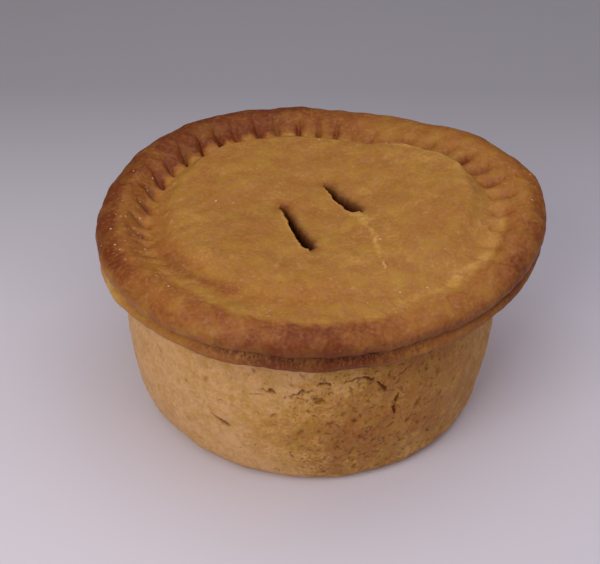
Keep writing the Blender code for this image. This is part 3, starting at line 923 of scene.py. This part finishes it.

# %% [markdown]
# ## The crust's material
#
# Hot-water crust is a plain dough of flour, lard and water, brushed with beaten egg and baked. The egg
# gives the lid and the rim a satin skin, and the wall, which the glaze hardly reached, stays drier. The
# colour runs from cream over gold to a reddish brown as the oven goes on, so one colour ramp follows the
# `bake` attribute, which also holds some painted shade and highlight. Three sizes of noise
# move it up and down, because no two square centimetres of dough are equally thick. Four patterns of
# yellow, pinkish and pale tint lie over that, the palest partly painted highlights of the glaze. Painted
# shade darkens pits, cracks and the seam's splits, and the cut insides of the vents are darker, with
# painted shade on the slope beside them.

# %% Hot-water crust
BAKE_COLOURS = (
    (0.0, "#dfae76"), (0.2, "#cc974d"), (0.38, "#b07837"), (0.6, "#a5682c"), (0.8, "#965726"),
    (1.0, "#763716"),
)
BAKE_NOISES = ((12.0, 0.14, 2.0), (3.0, 0.16, 3.0), (0.8, 0.16, 2.0))  # size in mm, strength, detail
TINTS = (  # size in mm, where it starts, strength, colour
    (5.0, 0.48, 0.35, "#b98f34"), (1.8, 0.48, 0.22, "#ad7258"), (0.9, 0.50, 0.25, "#c09442"),
    # The palest tint, below, is flour and also small painted highlights of the glaze.
    (1.5, 0.60, 0.4, "#cfa06c"),
)
TINT_RUN = 0.16
FINE_PIT_SHADE = "#4f2711"
# Painted shade for pits and cracks; the vent colour is the cut's meat-stained inside, and painted shade on
# the slope beside it.
DARK_PARTS = (("pit", 0.5, "#6b3a18"), ("crack", 0.75, "#6f3d14"), ("vent", 1.0, "#43120d"))


def crust_material():
    """Egg-glazed crust: satin, and from gold to brown as it baked; dry, pale and pitted on the wall."""
    material, node, place, shader = new_material("hot-water crust, egg-glazed and baked")
    bake = node("ShaderNodeAttribute", attribute_name="bake").outputs["Fac"]
    pitting = node("ShaderNodeAttribute", attribute_name="pitting").outputs["Fac"]
    wilder = node("ShaderNodeMath", pitting, 1.0, operation="ADD")
    for size, strength, detail in BAKE_NOISES:
        texture = node("ShaderNodeTexNoise", {"Vector": place, "Scale": 1.0 / (size * MM), "Detail": detail})
        centred = node("ShaderNodeMath", texture.outputs[0], 0.5, operation="SUBTRACT")
        scaled = node("ShaderNodeMath", centred, wilder, operation="MULTIPLY")
        bake = node("ShaderNodeMath", scaled, 2.0 * strength, bake, operation="MULTIPLY_ADD")
    colour = set_stops(node("ShaderNodeValToRGB", bake), BAKE_COLOURS)

    # Yellow, pinkish and pale patches, as egg, fat and flour soaked in unevenly; the palest is also small
    # painted highlights of the glaze. Fewest where it is brown.
    golden = node("ShaderNodeMapRange", bake, 0.5, 1.0, 1.0, 0.4)
    for size, start, strength, tint in TINTS:
        texture = node("ShaderNodeTexNoise", {"Vector": place, "Scale": 1.0 / (size * MM), "Detail": 2.0})
        share = node("ShaderNodeMapRange", texture.outputs[0], start, start + TINT_RUN, 0.0, strength)
        share = node("ShaderNodeMath", share, golden, operation="MULTIPLY")
        mix = node("ShaderNodeMix", {"Factor": share, 6: colour, 7: rgb(tint)}, data_type="RGBA")
        colour = mix.outputs["Result"]

    # Fine pits that are too small for the mesh, with painted shade: more of them where the pitting map is
    # high.
    scale = 1.0 / (1.1 * MM)
    fine = node("ShaderNodeTexNoise", {"Vector": place, "Scale": scale, "Detail": 1.5, "Distortion": 0.6})
    edge = node("ShaderNodeMapRange", pitting, 0.0, 1.0, 0.22, 0.385)
    deep = node("ShaderNodeMath", edge, fine.outputs[0], operation="SUBTRACT")
    holes = node("ShaderNodeMapRange", deep, 0.0, 0.05)

    # Upright splits in the seam, where the dough was pinched, with painted shade in them.
    upright = node("ShaderNodeMapping", {"Vector": place, "Scale": (1.0, 1.0, 0.22)})
    split = node("ShaderNodeTexNoise", {"Vector": upright, "Scale": 1.0 / (0.55 * MM), "Detail": 1.0})
    along = node("ShaderNodeAttribute", attribute_name="ticks").outputs["Fac"]
    narrow = node("ShaderNodeMapRange", split.outputs[0], 0.50, 0.42)
    slits = node("ShaderNodeMath", narrow, along, operation="MULTIPLY")
    holes = node("ShaderNodeMath", holes, slits, operation="MAXIMUM")
    # Painted shade in the fine pits and the seam's splits.
    darker = node("ShaderNodeMath", holes, 0.45, operation="MULTIPLY")
    darker = node("ShaderNodeMath", slits, 0.35, darker, operation="MULTIPLY_ADD")
    mix = node("ShaderNodeMix", {"Factor": darker, 6: colour, 7: rgb(FINE_PIT_SHADE)}, data_type="RGBA")
    colour = mix.outputs["Result"]

    # The marks that are in the mesh: painted shade in pits and cracks, and the vents' stained insides with
    # painted shade beside them.
    for name, strength, dark in DARK_PARTS:
        part = node("ShaderNodeAttribute", attribute_name=name).outputs["Fac"]
        share = node("ShaderNodeMath", part, strength, operation="MULTIPLY")
        mix = node("ShaderNodeMix", {"Factor": share, 6: colour, 7: rgb(dark)}, data_type="RGBA")
        colour = mix.outputs["Result"]

    grain = node("ShaderNodeTexNoise", {"Vector": place, "Scale": 1.0 / (0.9 * MM), "Detail": 4.0})
    gloss = node("ShaderNodeMapRange", grain.outputs[0], 0.3, 0.7, 0.45, 0.65)
    height = node("ShaderNodeMath", holes, -1.5, grain.outputs[0], operation="MULTIPLY_ADD")
    relief = node("ShaderNodeBump", {"Strength": 0.6, "Distance": 0.2 * MM, "Height": height})
    shader.inputs["IOR"].default_value = 1.45
    shader.inputs["Specular IOR Level"].default_value = 0.25
    link = material.node_tree.links.new
    link(colour, shader.inputs["Base Color"])
    link(gloss.outputs[0], shader.inputs["Roughness"])
    link(relief.outputs[0], shader.inputs["Normal"])
    return material


crust = crust_material()

# %% Surfacing both pieces
surface = surface_tree()
use_tree(
    lid, surface, lumps=1.5 * MM, lump_size=8.0 * MM, grain=0.3 * MM, grain_size=2.4 * MM, pits=160000.0,
    pit_radius=0.4 * MM, pit_depth=0.4 * MM, seed=5, material=crust,
)
use_tree(
    case, surface, lumps=1.1 * MM, lump_size=9.0 * MM, grain=0.45 * MM, grain_size=2.2 * MM, pits=150000.0,
    pit_radius=0.42 * MM, pit_depth=0.35 * MM, seed=8, material=crust,
)
for piece in (lid, case):
    mesh = freeze(piece)
    triangles = sum(len(face.vertices) - 2 for face in mesh.polygons)
    print(piece.name, "surfaced:", len(mesh.vertices), "vertices,", triangles, "triangles")

# %% [markdown]
# ## Into the CAD box
#
# Everything so far was built round the turning axis. The CAD solid's box has the middle of the uneven
# outline at its centre instead, so all pieces now move by the difference.

# %% The shift from the turning axis to the box
def middle(piece):
    """The middle of the piece's box, in mm."""
    points = get_points(piece.data)
    return (points.min(axis=0) + points.max(axis=0)) / 2.0


shift = np.array((low + high) / MM / 2.0) - middle(lid)
shift[2] = low.z / MM
for piece in (lid, case):
    set_points(piece.data, get_points(piece.data) + shift)
print("shift:", shift.round(2), "mm")

# %% [markdown]
# ## The filling in the vents
#
# Chopped pork, cooked dark and moist with its jelly, can just be seen down the vents. Only its tops
# show, so it is a few rough lumps laid along each cut, well below the lid.

# %% Meat lumps
MEAT_TOP = 42.4  # mm above the base
LUMP_HALVES = (1.7, 1.7, 2.0)
LUMP_PLACES = (0.15, 0.5, 0.85)  # along each stretch of a cut


def meat_material():
    """Roast pork with jelly: dark red-brown, wet, so with a sharp highlight."""
    material, node, place, shader = new_material("roast pork with jelly, moist")
    fibres = node("ShaderNodeTexNoise", {"Vector": place, "Scale": 1.0 / (0.8 * MM), "Detail": 3.0})
    colour = set_stops(node("ShaderNodeValToRGB", fibres.outputs[0]), ((0.35, "#36100c"), (0.65, "#7c2c1c")))
    relief = node("ShaderNodeBump", {"Strength": 0.5, "Distance": 0.2 * MM, "Height": fibres.outputs[0]})
    shader.inputs["Roughness"].default_value = 0.3
    material.node_tree.links.new(colour, shader.inputs["Base Color"])
    material.node_tree.links.new(relief.outputs[0], shader.inputs["Normal"])
    return material


def add_lump(shape, centre):
    """A ball pulled out of shape by two sizes of noise."""
    made = bmesh.ops.create_icosphere(shape, subdivisions=3, radius=1.0)
    for vertex in made["verts"]:
        way = vertex.co.normalized()
        rough = 1.0 + 0.35 * noise.noise(way * 1.7 + centre) + 0.12 * noise.noise(way * 5.0 + centre)
        vertex.co = (centre + way * Vector(LUMP_HALVES) * rough) * MM


def meat_lumps():
    """Lumps along both cuts, joined in one mesh."""
    shape = bmesh.new()
    for route in VENTS:
        for start, end in zip(route, route[1:]):
            for share in LUMP_PLACES:
                x, y = (a + (b - a) * share for a, b in zip(start[:2], end[:2]))
                add_lump(shape, Vector((x, y, MEAT_TOP - LUMP_HALVES[2])) + Vector(shift))
    mesh = bpy.data.meshes.new("meat_in_vents")
    shape.to_mesh(mesh)
    shape.free()
    mesh.shade_smooth()
    mesh.materials.append(meat_material())
    return put("meat_in_vents", mesh)


meat = meat_lumps()
print("meat:", len(meat.data.polygons), "triangles")

# %% [markdown]
# ## Loose flakes
#
# Egg-glazed pastry sheds flakes where it is pinched and folded. They are scattered on the rim's left and
# along the main fold, with a few elsewhere: flat specks well under a millimetre, paler than the crust. The
# tree takes the lid as the ground to scatter on, but gives only the flakes.

# %% Scattering flakes
def flake_density(points):
    """How many flakes lie at each point, from 0 to about 1. None lie in the vents."""
    x, y, z = (points - shift).T
    angle, radius = np.arctan2(y, x), np.hypot(x, y)
    rim = bump(radius, 43.5, 5.0) * bump(np.degrees(angle) % 360.0, 190.0, 45.0)
    fold = bump(np.abs(along_route(x, y, MAIN_CREASE)[0]), 1.6, 1.5)
    return (0.02 + rim + 0.4 * fold) * (z > SEAM_HEIGHT) * (get_attribute(lid.data, "vent") < 0.01)


def flake_tree():
    """Uneven balls, flattened and laid on the crust where the `flakes` attribute says."""
    tree, given, result = new_tree("Loose flakes", [
        ("Density", "Float", 100000.0), ("Size", "Float", 0.0005), ("Thickness", "Float", 0.25),
        ("Seed", "Int", 0), ("Material", "Material", None),
    ])
    node = functools.partial(add, tree)
    crust, seed = given.outputs["Geometry"], given.outputs["Seed"]
    common = node("GeometryNodeInputNamedAttribute", {"Name": "flakes"}, data_type="FLOAT")
    common = common.outputs["Attribute"]
    density = node("ShaderNodeMath", common, given.outputs["Density"], operation="MULTIPLY")
    points = node("GeometryNodeDistributePointsOnFaces", {"Mesh": crust, "Density": density, "Seed": seed})
    flake = node("GeometryNodeMeshIcoSphere", {"Radius": 1.0, "Subdivisions": 2})
    position = node("GeometryNodeInputPosition")
    texture = node("ShaderNodeTexNoise", {"Vector": position, "Scale": 1.3, "Detail": 1.0})
    uneven = node("ShaderNodeMapRange", texture.outputs[0], 0.3, 0.7, 0.5, 1.3)
    place = node("ShaderNodeVectorMath", {0: position, "Scale": uneven}, operation="SCALE")
    flake = node("GeometryNodeSetPosition", {"Geometry": flake, "Position": place})
    width = node("FunctionNodeRandomValue", {2: 0.4, 3: 1.2, "Seed": seed})
    width = node("ShaderNodeMath", width, given.outputs["Size"], operation="MULTIPLY")
    thickness = node("ShaderNodeMath", width, given.outputs["Thickness"], operation="MULTIPLY")
    length = node("ShaderNodeMath", width, 1.5, operation="MULTIPLY")
    size = node("ShaderNodeCombineXYZ", length, width, thickness)
    spin = node(
        "FunctionNodeRandomValue", {0: (-0.3, -0.3, 0.0), 1: (0.3, 0.3, math.tau), "Seed": seed},
        data_type="FLOAT_VECTOR",
    )
    turned = node(
        "FunctionNodeRotateRotation", {"Rotation": points.outputs["Rotation"], "Rotate By": spin},
        rotation_space="LOCAL",
    )
    copies = node(
        "GeometryNodeInstanceOnPoints",
        {"Points": points.outputs["Points"], "Instance": flake, "Rotation": turned, "Scale": size},
    )
    return close_tree(tree, given, result, copies)


def flake_material():
    """The dry skin of the pastry: pale, matt and a little uneven."""
    material, node, place, shader = new_material("dry pastry flake")
    patches = node("ShaderNodeTexNoise", {"Vector": place, "Scale": 1.0 / (2.0 * MM), "Detail": 1.0})
    colour = set_stops(node("ShaderNodeValToRGB", patches.outputs[0]), ((0.35, "#b98a52"), (0.65, "#dcc092")))
    shader.inputs["Roughness"].default_value = 0.7
    material.node_tree.links.new(colour, shader.inputs["Base Color"])
    return material


flakes = put("loose_flakes", lid.data.copy())
set_attribute(flakes.data, "flakes", flake_density(get_points(flakes.data)))
use_tree(
    flakes, flake_tree(), density=160000.0, size=0.22 * MM, thickness=0.35, seed=4, material=flake_material(),
)
freeze(flakes)
print("flakes:", len(flakes.data.polygons), "triangles")

# %% [markdown]
# ## Joining the frame
#
# All pieces ride the CAD model's one body, and together they stand for its one solid.

# %% Frame calls
for piece in (lid, case, meat, flakes):
    piece.data.name = piece.name
    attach(piece, ROOT)
    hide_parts(PIE)

# %% [markdown]
# ## Floor, light and camera
#
# The pie stands on a pale floor, with painted shade that greys it behind the pie. Light comes down from
# the whole ceiling and from a lamp at the front left, with a little more from the right. The camera looks
# down at the pie from the front, through a longish lens.

# %% Floor
FLOOR_SIDE = 6.0
# Painted shade on the floor: where it starts and ends behind the pie.
FLOOR_SHADE_RUN = (0.02, 0.14)  # where, behind the pie, it starts and ends to turn greyer


def floor_material():
    """White laminate: matt and faintly lilac, with painted shade that makes it greyer behind the pie."""
    material, node, place, shader = new_material("white laminate, matt and worn behind")
    across = node("ShaderNodeSeparateXYZ", place)
    # Painted shade: the floor turns greyer towards the back.
    back_shade = node("ShaderNodeMapRange", across.outputs["Y"], *FLOOR_SHADE_RUN)
    colour = set_stops(node("ShaderNodeValToRGB", back_shade), ((0.0, "#dad5df"), (1.0, "#aba8ae")))
    shader.inputs["Roughness"].default_value = 0.9
    material.node_tree.links.new(colour, shader.inputs["Base Color"])
    return material


half = FLOOR_SIDE / 2.0
corners = [(-half, -half, 0.0), (half, -half, 0.0), (half, half, 0.0), (-half, half, 0.0)]
floor = put("floor", bpy.data.meshes.new("floor"))
floor.data.from_pydata(corners, [], [(0, 1, 2, 3)])
floor.data.materials.append(floor_material())
floor.location.z = low.z

# %% Light
def soft_light(name, place, target, size, power, colour):
    """A square area light at a place, facing the target."""
    light = bpy.data.lights.new(name, "AREA")
    light.size = size
    light.energy = power
    light.color = rgb(colour)[:3]
    lamp = put(name, light)
    lamp.location = place
    lamp.rotation_euler = (Vector(target) - Vector(place)).to_track_quat("-Z", "Y").to_euler()


soft_light("ceiling bounce", (0.0, -0.02, 0.60), (0.0, -0.02, 0.0), 0.8, 2.3, "#fdfaff")
soft_light("lamp, front left", (-0.19, -0.29, 0.28), (-0.05, -0.14, 0.0), 0.25, 0.8, "#fffaf5")
soft_light("pale wall, right", (0.50, -0.20, 0.35), (0.12, -0.05, 0.0), 0.6, 0.7, "#fbf6ff")
world = bpy.data.worlds.new("dim sky")
world.use_nodes = True
world.node_tree.nodes["Background"].inputs["Color"].default_value = rgb("#d6d2de")
world.node_tree.nodes["Background"].inputs["Strength"].default_value = 0.08
bpy.context.scene.world = world
bpy.context.scene.view_settings.view_transform = "Standard"

# %% Camera
CAMERA_DISTANCE, CAMERA_RISE, CAMERA_TARGET = 316.9, 39.0, 20.0  # mm, degrees, mm above the base
CAMERA_TILT, CAMERA_TURN = 38.125, 0.742  # degrees below the horizon, and to the left
camera_data = bpy.data.cameras.new("camera")
camera_data.lens = 78.0
camera_data.sensor_width = 36.0
camera = put("camera", camera_data)
rise = math.radians(CAMERA_RISE)
camera.location = Vector((
    shift[0], shift[1] - CAMERA_DISTANCE * math.cos(rise), CAMERA_TARGET + CAMERA_DISTANCE * math.sin(rise),
)) * MM
camera.rotation_euler = (math.radians(90.0 - CAMERA_TILT), 0.0, math.radians(CAMERA_TURN))
bpy.context.scene.camera = camera
